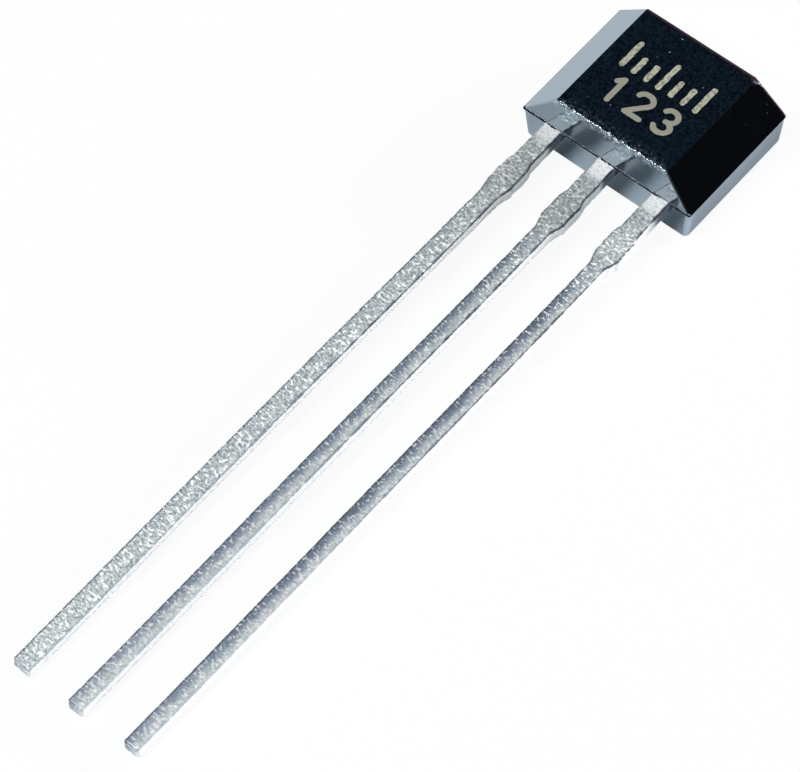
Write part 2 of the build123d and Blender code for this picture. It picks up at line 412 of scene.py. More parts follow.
def piece_from(name, surfaces, material, replaced=(), smooth=True):
    """One object at the origin from several closed surfaces, riding on the only body."""
    vertices = np.concatenate([surface[0] for surface in surfaces])
    starts = np.cumsum([0] + [len(surface[0]) for surface in surfaces])
    blocks = [block + start for (_, faces), start in zip(surfaces, starts) for block in faces]
    corners = np.concatenate([block.ravel() for block in blocks])
    sizes = np.concatenate([np.full(len(block), block.shape[1]) for block in blocks])
    mesh = bpy.data.meshes.new(name)
    mesh.vertices.add(len(vertices))
    mesh.vertices.foreach_set("co", vertices.astype(np.float32).ravel())
    mesh.loops.add(len(corners))
    mesh.loops.foreach_set("vertex_index", corners.astype(np.int32))
    mesh.polygons.add(len(sizes))
    mesh.polygons.foreach_set("loop_start", np.concatenate([[0], np.cumsum(sizes)[:-1]]).astype(np.int32))
    mesh.polygons.foreach_set("use_smooth", np.full(len(sizes), smooth))
    mesh.update(calc_edges=True)
    mesh.validate()
    mesh.materials.append(material)
    piece = bpy.data.objects.new(name, mesh)
    bpy.context.scene.collection.objects.link(piece)
    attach(piece, "root")
    if replaced:
        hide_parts(*replaced)
    return piece


def paint(piece, colours):
    """Stores a colour for each of the piece's first vertices as its finish, and white for the rest. On the
    leads this colour holds painted shade and light.
    """
    values = np.ones((len(piece.data.vertices), 4), dtype=np.float32)
    values[: len(colours), : colours.shape[1]] = colours
    attribute = piece.data.attributes.new("finish", "FLOAT_COLOR", "POINT")
    attribute.data.foreach_set("color", values.ravel())


def pole_to_pole(values):
    """Ring values in the order of a closed surface's vertices, with the end rings' means at the poles."""
    flat = values.reshape(-1, values.shape[-1])
    return np.concatenate([values[0].mean(axis=0)[None], flat, values[-1].mean(axis=0)[None]])


class Recipe:
    """A node tree in the making. Each method adds a node and gives back its result.

    Every input may be a fixed value or another node's result.
    """

    def __init__(self, owner, output="ShaderNodeOutputMaterial"):
        owner.use_nodes = True
        self.owner = owner
        self.tree = owner.node_tree
        self.tree.nodes.clear()
        self.output = self.add(output)

    def add(self, kind, inputs=None, **fields):
        """A node with its fields, and its inputs by name or number."""
        node = self.tree.nodes.new(kind)
        for field, value in fields.items():
            setattr(node, field, value)
        for key, value in (inputs or {}).items():
            socket = node.inputs[key]
            if isinstance(value, bpy.types.NodeSocket):
                self.tree.links.new(value, socket)
            else:
                socket.default_value = (*value, 1.0) if socket.type == "RGBA" else value
        return node

    def noise(self, scale, detail, roughness=0.5, stretch=(1.0, 1.0, 1.0)):
        """Noise in cells a millimetre, stretched along the object's own axes."""
        inputs = {"Scale": scale, "Detail": detail, "Roughness": roughness, "Vector": self.place(stretch)}
        return self.add("ShaderNodeTexNoise", inputs).outputs["Fac"]

    def place(self, stretch=(1.0, 1.0, 1.0)):
        """The object's own coordinates in millimetres."""
        own = self.add("ShaderNodeTexCoord").outputs["Object"]
        scale = tuple(factor / MM for factor in stretch)
        return self.add("ShaderNodeMapping", {"Scale": scale, "Vector": own}).outputs["Vector"]

    def axis(self, name):
        """One of the object's own coordinates in millimetres."""
        return self.add("ShaderNodeSeparateXYZ", {"Vector": self.place()}).outputs[name]

    def channels(self, source):
        """The red, green and blue parts of a colour."""
        return self.add("ShaderNodeSeparateColor", {"Color": source}).outputs

    def painted(self):
        """The colour and alpha that are painted on the vertices."""
        return self.add("ShaderNodeAttribute", attribute_name="finish").outputs

    def ramp(self, source, low, high, from_value=0.0, to_value=1.0):
        """Maps a value's range low to high onto another range, held at its ends."""
        ends = {"From Min": low, "From Max": high, "To Min": from_value, "To Max": to_value}
        return self.add("ShaderNodeMapRange", {"Value": source, **ends}).outputs["Result"]

    def blend(self, factor, first, second, mode="MIX"):
        """Mixes two colours, by default from the first to the second."""
        inputs = {0: factor, 6: first, 7: second}
        return self.add("ShaderNodeMix", inputs, data_type="RGBA", blend_type=mode).outputs[2]

    def operate(self, operation, first, second):
        """The result of an operation on two values."""
        return self.add("ShaderNodeMath", {0: first, 1: second}, operation=operation).outputs["Value"]

    def sum(self, first, second):
        """The sum of two values."""
        return self.operate("ADD", first, second)

    def larger(self, first, second):
        """The larger of two values."""
        return self.operate("MAXIMUM", first, second)

    def product(self, first, *others):
        """The product of several values."""
        for other in others:
            first = self.operate("MULTIPLY", first, other)
        return first

    def relief(self, height, depth):
        """A bump of that depth in metres."""
        inputs = {"Strength": 1.0, "Distance": depth, "Height": height}
        return self.add("ShaderNodeBump", inputs).outputs["Normal"]

    def show(self, shader):
        """Ends the tree with its shader, and gives back what the tree belongs to."""
        self.tree.links.new(shader.outputs[0], self.output.inputs["Surface"])
        return self.owner

    def finish(self, inputs):
        """Ends a piece's material."""
        return self.show(self.add("ShaderNodeBsdfPrincipled", inputs))


def new_recipe(name):
    """The recipe of a new material."""
    return Recipe(bpy.data.materials.new(name))


def darker(value, part):
    """A colour at a part of its strength."""
    return tuple(part * channel for channel in value)


def moulding_material(settings):
    """Near-black filled epoxy: a hard, slightly mottled skin with fine grain and a few pale specks of filler.

    Painted red is how chipped the skin is, and painted green how bare of its gloss.
    """
    recipe = new_recipe("moulding compound")
    front = FRONT_HEIGHT / MM
    on_front = recipe.ramp(recipe.axis("Z"), front - 0.03, front - 0.005)
    mottle = recipe.product(recipe.ramp(recipe.noise(18.0, 4.0, 0.9), 0.42, 0.74), on_front)
    base = recipe.blend(mottle, settings.compound, settings.haze)
    cells = recipe.add("ShaderNodeTexVoronoi", {"Scale": 9.0, "Vector": recipe.place()}).outputs
    rare = recipe.ramp(recipe.channels(cells["Color"])["Red"], 0.90, 0.93)
    near_speck = recipe.ramp(cells["Distance"], 0.10, 0.16, 1.0, 0.0)
    speck = recipe.product(rare, near_speck, recipe.ramp(on_front, 0.0, 1.0, 0.4, 1.0))
    painted = recipe.channels(recipe.painted()["Color"])
    chipped = painted["Red"]
    base = recipe.blend(painted["Green"], base, settings.rust)
    crumbs = recipe.ramp(recipe.noise(15.0, 3.0, 0.7), 0.50, 0.60)
    speck = recipe.larger(speck, recipe.product(crumbs, chipped))
    base = recipe.blend(speck, base, settings.dust)
    bare = recipe.ramp(painted["Green"], 0.1, 0.5)
    rough = recipe.ramp(recipe.noise(3.0, 4.0), 0.3, 0.7, settings.roughness * 0.8, settings.roughness * 1.25)
    rough = recipe.sum(rough, recipe.product(chipped, 0.25))
    rough = recipe.larger(rough, recipe.product(bare, settings.bare_roughness))
    return recipe.finish(
        {
            "Base Color": base,
            "Roughness": rough,
            "IOR": 3.3,
            "Specular Tint": recipe.blend(bare, settings.sheen, settings.rust),
            "Coat Weight": recipe.ramp(bare, 0.0, 1.0, 1.0, 0.0),
            "Coat Roughness": 0.06,
            "Coat IOR": 2.5,
            "Coat Tint": settings.sheen,
            "Normal": recipe.relief(recipe.noise(30.0, 3.0, 0.6), 0.00025 * MM),
        }
    )


def tin_material(settings):
    """Matt tin over stamped copper alloy: pebbled across the lead, with painted shade in its hollows and a
    painted highlight at the root.

    The painted colour tints the tin and holds its painted shade and light, and the painted alpha is how
    pebbled it is.
    """
    recipe = new_recipe("matt tin plating")
    pebbles = recipe.noise(18.0, 4.0, 0.6, (0.85, 1.3, 0.85))
    crystals = recipe.noise(55.0, 2.0, 0.6)
    painted = recipe.painted()
    pebbled = painted["Alpha"]
    rough_share = recipe.ramp(pebbled, 0.4, 0.9, 0.45, 1.0)
    # Painted shade in the hollows: the low spots of the noise that raises the bumps are painted darker
    base = recipe.blend(recipe.ramp(pebbles, 0.40, 0.57), settings.tin_shade, settings.tin)
    base = recipe.blend(rough_share, settings.tin_smooth, base)
    base = recipe.blend(recipe.ramp(recipe.noise(2.2, 3.0), 0.35, 0.75, 0.0, 0.35), base, settings.tin_shade)

    along = recipe.axis("Y")
    ragged = recipe.sum(along, recipe.ramp(recipe.noise(9.0, 3.0), 0.2, 0.8, -0.09, 0.09))
    # Painted highlight: the root next to the moulding is painted bright tin, with darker painted pits, and
    # made less metallic
    root_end = LEAD_END / MM - 0.30
    root = recipe.ramp(ragged, root_end - 0.14, root_end)
    root = recipe.product(root, recipe.ramp(along, 0.0, 1.0, 1.0, 0.0))
    pits = recipe.blend(recipe.ramp(pebbles, 0.40, 0.50), settings.tin_pit, settings.tin_highlight)
    base = recipe.blend(root, base, pits)

    # Painted reflection: where the plating is not pebbled, on the sheared right sides and the edge line, the
    # base is painted bright tin and made not metallic, standing in for the pale floor that the sides mirror
    pebbled_part = recipe.ramp(pebbled, 0.0, 0.35)
    base = recipe.blend(pebbled_part, settings.tin_highlight, base)
    base = recipe.blend(1.0, base, painted["Color"], "MULTIPLY")
    # Painted glints: bright spots painted into the base colour of the pebbled tops, and made less metallic
    painted_glints = recipe.ramp(recipe.noise(15.0, 3.0, 0.6, (0.75, 1.25, 0.75)), 0.56, 0.60)
    painted_glints = recipe.product(painted_glints, pebbled_part, recipe.ramp(pebbled, 0.3, 0.9, 0.35, 1.0))
    base = recipe.blend(painted_glints, base, settings.tin_highlight)
    off_painted_glints = recipe.ramp(painted_glints, 0.0, 1.0, 1.0, 0.15)
    off_root = recipe.ramp(root, 0.0, 1.0, 1.0, 0.25)
    height = recipe.sum(pebbles, recipe.product(crystals, 0.35))
    return recipe.finish(
        {
            "Base Color": base,
            "Metallic": recipe.product(off_painted_glints, settings.metal, pebbled_part, off_root),
            "Roughness": recipe.ramp(crystals, 0.3, 0.7, settings.roughness * 0.7, settings.roughness * 1.3),
            "IOR": 1.6,
            "Normal": recipe.relief(height, 0.0045 * MM),
        }
    )


def marking_material(settings):
    """Burnt skin of the moulding: pale, dry and finely pitted, and deeper in the upper row."""
    recipe = new_recipe("burnt marking")
    pits = recipe.noise(26.0, 4.0, 0.7)
    deep = recipe.ramp(recipe.axis("Y"), -0.08, 0.0)
    pale = recipe.blend(deep, settings.ink, settings.deep_ink)
    pitted = recipe.product(recipe.ramp(pits, 0.52, 0.40), recipe.ramp(deep, 0.0, 1.0, 0.25, 0.8))
    base = recipe.blend(pitted, pale, darker(settings.ink, 0.25))
    return recipe.finish(
        {"Base Color": base, "Roughness": 0.75, "IOR": 1.45, "Normal": recipe.relief(pits, 0.002 * MM)}
    )


def silicon_material(settings):
    """Polished silicon with a fine grid of metal tracks in its face."""
    recipe = new_recipe("silicon")
    inputs = {"Scale": 9.0, "Mortar Size": 0.03, "Mortar": settings.circuit, "Vector": recipe.place()}
    inputs.update({"Color1": settings.silicon, "Color2": settings.silicon})
    tracks = recipe.add("ShaderNodeTexBrick", inputs).outputs["Color"]
    haze = recipe.ramp(recipe.noise(8.0, 3.0), 0.3, 0.7, 0.12, 0.3)
    return recipe.finish({"Base Color": tracks, "Metallic": 0.4, "Roughness": haze, "IOR": 3.4})


def adhesive_material(settings):
    """Silver-filled epoxy: pale grey with flakes."""
    recipe = new_recipe("chip adhesive")
    flakes = recipe.ramp(recipe.noise(40.0, 4.0, 0.7), 0.4, 0.6)
    base = recipe.blend(flakes, darker(settings.adhesive, 0.6), settings.adhesive)
    return recipe.finish(
        {"Base Color": base, "Metallic": 0.5, "Roughness": 0.55, "Normal": recipe.relief(flakes, 0.002 * MM)}
    )


def gold_material(settings):
    """Drawn gold wire with faint lines along it."""
    recipe = new_recipe("bond wire gold")
    lines = recipe.noise(60.0, 2.0, 0.5, (1.0, 0.3, 1.0))
    base = recipe.blend(recipe.ramp(lines, 0.3, 0.7, 0.0, 0.3), settings.gold, settings.gold_light)
    return recipe.finish(
        {"Base Color": base, "Metallic": 1.0, "Roughness": 0.25, "Normal": recipe.relief(lines, 0.0008 * MM)}
    )


def side_profile(settings, back_inset, front_inset, line_share):
    """One wall from the back face to the front face, as distance out from the parting outline, and height.

    Two straight runs meet at the parting line. Arcs round both rims, a thin flash stands out at the
    parting line and a fine groove runs above it.
    """
    flat = 2.5 * settings.rim_radius
    back_plane = np.array([-back_inset - flat, 0.0])
    back_rim = np.array([-back_inset, 0.0])
    parting = np.array([0.0, PARTING_HEIGHT])
    front_rim = np.array([-front_inset, FRONT_HEIGHT])
    front_plane = np.array([-front_inset - flat, FRONT_HEIGHT])
    back_arc = rounded_corner(back_plane, back_rim, parting, settings.rim_radius, 9)
    front_arc = rounded_corner(parting, front_rim, front_plane, settings.rim_radius, 15)
    below, above = np.array(FLASH_STEPS), np.array(GROOVE_STEPS)
    flash = np.array([settings.flash * line_share, 0.0])
    groove = np.array([settings.groove * line_share, 0.0])
    line = np.concatenate(
        [
            parting + below[:, :1] * MM * unit(back_rim - parting) + below[:, 1:] * flash,
            parting + above[:, :1] * MM * unit(front_rim - parting) - above[:, 1:] * groove,
        ]
    )
    return np.concatenate(
        [
            back_plane[None],
            straight(back_plane, back_arc[0], 1),
            back_arc,
            straight(back_arc[-1], line[0], 30),
            line,
            straight(line[-1], front_arc[0], 26),
            front_arc,
            straight(front_arc[-1], front_plane, 1),
            front_plane[None],
        ]
    )


def package_rows(settings):
    """The package's outside as closed rings, from the middle of the dent in its back to the front face."""
    back_side_inset = PARTING_HEIGHT * math.tan(settings.back_side_draft)
    back_end_inset = PARTING_HEIGHT * math.tan(settings.back_end_draft)
    side_inset = FRONT_DEPTH * math.tan(settings.side_bevel)
    far_inset = FRONT_DEPTH * math.tan(settings.far_end_draft)
    near_inset = FRONT_DEPTH * math.tan(settings.lead_end_draft)
    right = side_profile(settings, back_side_inset, side_inset, 0.1)
    far = side_profile(settings, back_end_inset, far_inset, 0.3)
    near = side_profile(settings, back_end_inset, near_inset, 1.0)
    out, heights = np.moveaxis(np.stack([right, far, right, near], axis=-1), 1, 0)
    to_front = smooth_step(PARTING_HEIGHT - 0.03 * MM, PARTING_HEIGHT + 0.005 * MM, heights[:, NEAR])
    outlines, shares = rounded_rings(
        HALF_WIDTH + out[:, RIGHT],
        FAR_END + out[:, FAR],
        -HALF_WIDTH - out[:, LEFT],
        LEAD_END - out[:, NEAR],
        settings.back_corner + (settings.front_corner - settings.back_corner) * to_front,
        (70, 110, 70, 290),
        6,
    )
    walls = np.concatenate([outlines, (heights @ shares.T)[..., None]], axis=-1)

    centre = np.array([0.0, FAR_END - settings.mark_from_far_end, 0.0])
    dent_bottom = np.array([0.0, 0.0, settings.mark_depth])
    reach = unit(walls[0] - centre) * settings.mark_diameter / 2
    dent_rows = [centre + reach * radius + dent_bottom * depth for radius, depth in DENT_STEPS]
    lip = dent_rows[-1]
    back_rows = [lip + (walls[0] - lip) * part for part in (0.15, 0.35, 0.55, 0.75, 0.9)]
    front_centre = np.array([0.0, (near_inset - far_inset) / 2, FRONT_HEIGHT])
    front_rows = [front_centre + (walls[-1] - front_centre) * part for part in np.linspace(0.97, 0.05, 22)]
    rows = np.concatenate([np.stack(dent_rows + back_rows), walls, np.stack(front_rows)])
    return rows, (centre + dent_bottom, front_centre), shares


def bare_skin(settings, rows, shares):
    """How bare of its gloss the package is at each point, as the largest of three shares.

    They are a bell about the front face's far rim, a band between smooth steps up the front half's far right
    corner, and a bell about the point where the two meet.
    """
    x, y, z = np.moveaxis(rows, -1, 0)
    rim_x = HALF_WIDTH - FRONT_DEPTH * math.tan(settings.side_bevel)
    rim_y = FAR_END - FRONT_DEPTH * math.tan(settings.far_end_draft)
    from_rim = np.hypot(y - rim_y, z - FRONT_HEIGHT)
    along_rim = bump(0.0, 0.05 * MM, from_rim) * shares[:, FAR]
    round_corner = smooth_step(0.0, 0.1, 4.0 * shares[:, RIGHT] * shares[:, FAR])
    on_front_half = smooth_step(PARTING_HEIGHT, PARTING_HEIGHT + 0.02 * MM, z)
    up_to_face = smooth_step(rim_y - 0.08 * MM, rim_y - 0.03 * MM, y)
    at_corner = bump(0.0, 0.10 * MM, np.hypot(x - rim_x, from_rim))
    return np.maximum(np.maximum(along_rim, round_corner * on_front_half * up_to_face), at_corner)


def weather_package(settings, rows, shares):
    """Moves the package's rings along their normals, and gives the wear that is painted on them.

    Value noise makes the faint unevenness, the chips and splinters of the edge above the leads, and the torn
    gate scar, which stands out of the far end between soft steps.
    """
    x, y, z = np.moveaxis(rows, -1, 0)
    near = shares[:, NEAR]
    off_line = smooth_step(0.01 * MM, 0.06 * MM, np.abs(z - PARTING_HEIGHT))
    out = settings.grain_depth * smooth_noise(rows, 0.25 * MM, 3) * off_line

    rim_y = LEAD_END + FRONT_DEPTH * math.tan(settings.lead_end_draft)
    from_rim = np.hypot(y - rim_y, z - FRONT_HEIGHT)
    coarse = smooth_noise(rows, 0.11 * MM, 5)
    fine = smooth_noise(rows, 0.045 * MM, 7)
    chips = np.minimum(0.0, 0.55 * coarse + 0.75 * fine - 0.05) + 0.25 * fine
    chips = chips * bump(0.0, 0.10 * MM, from_rim)
    splinters = smooth_noise(rows, 0.032 * MM, 9) * bump(0.0, 0.065 * MM, from_rim)
    out += settings.chip_depth * (chips + 0.42 * splinters) * near
    below = smooth_step(-0.02 * MM, 0.03 * MM, FRONT_HEIGHT - z) * bump(0.0, 0.095 * MM, from_rim)
    above = 0.22 * bump(0.0, 0.17 * MM, from_rim)
    chipped = np.clip(np.maximum(below, above) * near * (0.75 + 0.9 * coarse), 0.0, 1.0)
    bare = bare_skin(settings, rows, shares)

    blur = 0.012 * MM
    in_scar = (
        shares[:, FAR]
        * smooth_step(-blur, blur, settings.scar_width / 2 - np.abs(x))
        * smooth_step(-blur, blur, FRAME_BOTTOM - z)
        * smooth_step(-blur, blur, z - FRAME_BOTTOM + settings.scar_height)
    )
    out += settings.scar_stand_off * in_scar * (0.75 + 0.25 * smooth_noise(rows, 0.06 * MM, 13))
    wear = np.stack([chipped, bare, np.zeros_like(bare)], axis=-1)
    return rows + outward(rows) * out[..., None], wear


def lead_shading_and_pebbling(settings, place, along, across, shares, rows):
    """Colour of the plating at each point, as a share of the tin's own, and how pebbled it is.

    Most of the colour is painted shade and light. The upper face's left half is painted darker and bluish
    along the shank as shade, a dark painted shade line follows the right upper edge, the left upper edge and
    the right side next to the moulding are painted darker, and the sheared right side and the root each get a
    painted brightness.
    """
    along = along[:, None]
    right, top, left = (shares[:, side] for side in (RIGHT, FAR, LEFT))
    uneven = smooth_noise(rows, 0.16 * MM, 71)
    fine = smooth_noise(rows, 0.06 * MM, 73)
    shade = settings.shade[place]
    on_shank = smooth_step(1.3 * MM, 3.4 * MM, along)
    on_shank = on_shank * (1.0 - 0.35 * smooth_step(10.0 * MM, 15.0 * MM, along))
    # Painted shade: the upper face's left half along the shank is painted darker
    dull = on_shank * (top + left) * (1.0 - smooth_step(-0.55, 0.60, across + 0.20 * uneven))
    # Painted shade line: a dark line painted along the right upper edge, weaker towards the tip
    line = smooth_step(0.45, 0.95, 4.0 * top * right + 0.25 * uneven + 0.20 * fine)
    line = line * (1.0 - 0.6 * smooth_step(5.0 * MM, 12.0 * MM, along))
    # Next to the moulding each root gets its painted brightness and its right side a painted shade
    near_root = 1.0 - smooth_step(0.30 * MM, 0.50 * MM, along)
    # Painted shading of the plating: the product of the painted shades and painted brightnesses
    painted_shading = (
        (1.0 - shade * dull)
        * (1.0 - 0.04 * on_shank)
        * (1.0 - settings.edge_shade_line * line)
        * (1.0 - settings.left_edge_shade * 4.0 * top * left)
        * (1.0 - (1.0 - settings.side[place]) * right)
        * (1.0 - (1.0 - settings.root[place]) * near_root)
        * (1.0 - settings.root_side_shade * near_root * right)
    )
    # The painted shades are also tinted bluish
    shade_blueness = np.clip(2.0 * shade * dull + line + near_root * right, 0.0, 1.0)[..., None]
    colours = painted_shading[..., None] * (1.0 - shade_blueness + shade_blueness * np.array(settings.shade_tint))
    on_root = 1.0 - smooth_step(0.34 * MM, 0.40 * MM, along)
    past_stub = smooth_step(1.9 * MM, 4.5 * MM, along)
    pebbled = (1.0 + (settings.pebbling[place] - 1.0) * past_stub) * (1.0 - 0.6 * on_root)
    pebbled = (pebbled * (1.0 - line) * (1.0 - right))[..., None]
    return np.concatenate([colours, pebbled], axis=-1)


def lead_stations(settings, place, inner_end):
    """Places along a lead, its half width at each, and how far the bevelled tip draws in its section there.

    The half width follows the stamped outline: notched neck, root, stub of the tie bar, taper, shank.
    """
    stub_start = settings.root_length + settings.flare_length
    stub_end = settings.root_length + settings.stub_length
    whole = LEAD_LENGTH + settings.reach[place]
    bevel_turn = np.linspace(0.0, math.pi / 2, 6)
    notch = np.array(NOTCH_STEPS) * MM
    inside = np.concatenate([[inner_end], notch[:, 0], [-0.03 * MM]])
    outside = np.arange(0.0, whole - settings.tip_bevel, 0.021 * MM)
    along = np.concatenate([inside, outside, whole - settings.tip_bevel * np.cos(bevel_turn)])
    corners = (0.0, settings.root_length, stub_start, stub_end, stub_end + settings.taper_length)
    root, stub, shank = settings.root_width, settings.stub_width, settings.shank_width[place]
    half_width = np.interp(along, corners, (root, root, stub, stub, shank)) / 2
    half_width[1 : 1 + len(notch)] -= notch[:, 1]
    half_width[len(inside) :] += settings.plating
    shrink = np.zeros(len(along))
    shrink[-len(bevel_turn) :] = settings.tip_bevel * (1 - np.cos(bevel_turn))
    return along, half_width - shrink, shrink


def lead_rows(settings, place, centre_x, inner_end):
    """One lead as closed rings along its length: a rounded section carried along a slightly turning line.

    The line's sideways shift is the polynomial through its stations. Value noise, short along the lead
    and longer across it, pebbles the plating. Coarser noise tears the stub's sheared sides.
    """
    along, half_width, shrink = lead_stations(settings, place, inner_end)
    half_height = FRAME_THICKNESS / 2 - shrink
    exposed = smooth_step(-0.02 * MM, 0.02 * MM, along)
    radius = np.minimum(settings.corner_radius * (0.15 + 0.85 * exposed), 0.9 * half_height)
    section, shares = rounded_rings(
        half_width, half_height, -half_width, -half_height, radius, (10, 16, 10, 16), 4
    )

    progress = np.clip(along / LEAD_LENGTH, 0.0, 1.0)
    roll = settings.twist[place] * smooth_step(0.03, 0.30, progress)[:, None]
    path = (settings.left_path, settings.middle_path, settings.right_path)[place]
    shift = np.polyval(np.polyfit(PATH_STATIONS, path, len(PATH_STATIONS) - 1), progress)[:, None]
    x = centre_x + shift + section[..., 0] * np.cos(roll) - section[..., 1] * np.sin(roll)
    z = PARTING_HEIGHT - FRAME_THICKNESS / 2 + section[..., 0] * np.sin(roll) + section[..., 1] * np.cos(roll)
    y = np.broadcast_to(LEAD_END - along[:, None], x.shape)
    rows = np.stack([x, y, z], axis=-1)

    seed = 16 + place
    stub_end = settings.root_length + settings.stub_length
    stretched = rows / np.array([1.35, 0.95, 1.35])
    pebbles = smooth_noise(stretched, 0.062 * MM, seed) + 0.5 * smooth_noise(stretched, 0.034 * MM, seed + 20)
    swell = smooth_noise(rows / np.array([3.0, 1.0, 3.0]), 0.40 * MM, seed + 40)
    past_root = smooth_step(0.30 * MM, 0.42 * MM, along)
    plainer = 1.0 + (settings.pebbling[place] - 1.0) * smooth_step(stub_end, stub_end + 3.0 * MM, along)
    depth = settings.pebble_depth * (0.30 + 0.70 * past_root) * plainer
    out = depth[:, None] * pebbles + settings.swell_depth * past_root[:, None] * swell

    stub_start = settings.root_length + settings.flare_length
    past_start = smooth_step(stub_start, stub_start + 0.05 * MM, along)
    on_stub = past_start * smooth_step(-stub_end, 0.10 * MM - stub_end, -along)
    torn = smooth_noise(rows, 0.07 * MM, seed + 60)
    out += settings.torn_depth * on_stub[:, None] * (shares[:, RIGHT] + shares[:, LEFT]) * torn
    at_burr = bump(stub_end - 0.02 * MM, 0.035 * MM, along)[:, None] * shares[:, RIGHT]
    out += settings.burr_height * at_burr * (0.6 + 0.4 * torn)
    rows = rows + outward(rows) * (out * exposed[:, None])[..., None]
    poles = (rows[0].mean(axis=0), rows[-1].mean(axis=0))
    across = section[..., 0] / half_width[:, None]
    return rows, poles, pole_to_pole(lead_shading_and_pebbling(settings, place, along, across, shares, rows))


def plate_outline(low, high, radius):
    """A rounded rectangle in plan as one ring of points, anticlockwise from its right side."""
    one_row = [np.array([value]) for value in (high[0], high[1], low[0], low[1], radius)]
    return rounded_rings(*one_row, (12, 12, 12, 12), 5)[0][0]


def solid_plate(low, high, radius):
    """A flat rounded plate between the two faces of the frame metal."""
    ring = plate_outline(low, high, radius)
    middle = ring.mean(axis=0)
    rows = levelled([ring, ring], [FRAME_BOTTOM, PARTING_HEIGHT])
    return closed_surface(rows, (*middle, FRAME_BOTTOM), (*middle, PARTING_HEIGHT))


def holed_plate(low, high, radius, hole_centre, hole_radius):
    """A flat rounded plate with a round hole, as four rings: hole and outline at both faces."""
    ring = plate_outline(low, high, radius)
    hole = hole_centre + unit(ring - hole_centre) * hole_radius
    heights = [FRAME_BOTTOM, FRAME_BOTTOM, PARTING_HEIGHT, PARTING_HEIGHT]
    return hollow_surface(levelled([hole, ring, ring, hole], heights))


def ribbon(path, width, base_height, thickness, ragged):
    """A thin strip along a line in plan, with round ends: half the width to each side of the line's normal.

    Its outline wanders by value noise.
    """
    tangent = unit(np.gradient(path, axis=0))
    side = np.column_stack([-tangent[:, 1], tangent[:, 0]])
    turn = np.linspace(math.pi / 2, -math.pi / 2, 9)[1:-1]
    half = width / 2

    def cap(end, direction, across):
        return end + half * (np.outer(np.cos(turn), direction) + np.outer(np.sin(turn), across))

    outline = [
        path + half * side,
        cap(path[-1], tangent[-1], side[-1]),
        (path - half * side)[::-1],
        cap(path[0], -tangent[0], -side[0]),
    ]
    inner = [path, path[-1] + np.zeros((len(turn), 2)), path[::-1], path[0] + np.zeros((len(turn), 2))]
    outline, inner = np.concatenate(outline)[::-1], np.concatenate(inner)[::-1]
    wander = smooth_noise(levelled([outline], [base_height])[0], 0.07 * MM, 91)
    outline = outline + unit(outline - inner) * (ragged * wander)[:, None]
    top = base_height + thickness
    return hollow_surface(levelled([inner, outline, outline, inner], [base_height, base_height, top, top]))


def line_path(first, last, count=16):
    """Even points on a straight line in plan."""
    fraction = np.linspace(0.0, 1.0, count)[:, None]
    return np.array(first) + (np.array(last) - np.array(first)) * fraction


def arc_path(centre, radius_x, radius_y, start, end):
    """Points on an ellipse in plan, from one angle to another in degrees."""
    turn = np.radians(np.linspace(start, end, 40))
    return np.array(centre) + np.column_stack([radius_x * np.cos(turn), radius_y * np.sin(turn)])


def figure_paths(figure, width, height):
    """The strokes of a plain pin number about its middle, as lines in plan."""
    half_width = width / 2
    half_height = height / 2
    if figure == 1:
        top = (0.1 * half_width, half_height)
        flag = line_path((-0.55 * half_width, 0.62 * half_height), top, 8)
        return [flag, line_path(top, (0.1 * half_width, -half_height))]
    if figure == 2:
        bow = arc_path((0, height / 4), half_width, height / 4, 165, -35)
        left, right = (-half_width, -half_height), (half_width, -half_height)
        slope = line_path(bow[-1], left)[1:]
        return [np.concatenate([bow, slope]), line_path(left, right)]
    upper = arc_path((0, height / 4), half_width * 0.92, height / 4, 155, -90)
    lower = arc_path((0, -height / 4), half_width, height / 4, 90, -155)
    return [upper, lower]


class SENSOR_OT_add_moulding(bpy.types.Operator):
    """Adds the moulded package with its bevels, parting line, chipped edge, ejector mark and gate scar"""

    bl_idname = "sensor.add_moulding"
    bl_label = "Moulded package"

    def execute(self, context):
        settings = context.scene.sensor_moulding
        rows, poles, shares = package_rows(settings)
        rows, wear = weather_package(settings, rows, shares)
        material = moulding_material(settings)
        surface = closed_surface(rows, *poles)
        package = piece_from("moulded_package", [surface], material, ["moulded_body"])
        paint(package, pole_to_pole(wear))
        return {"FINISHED"}


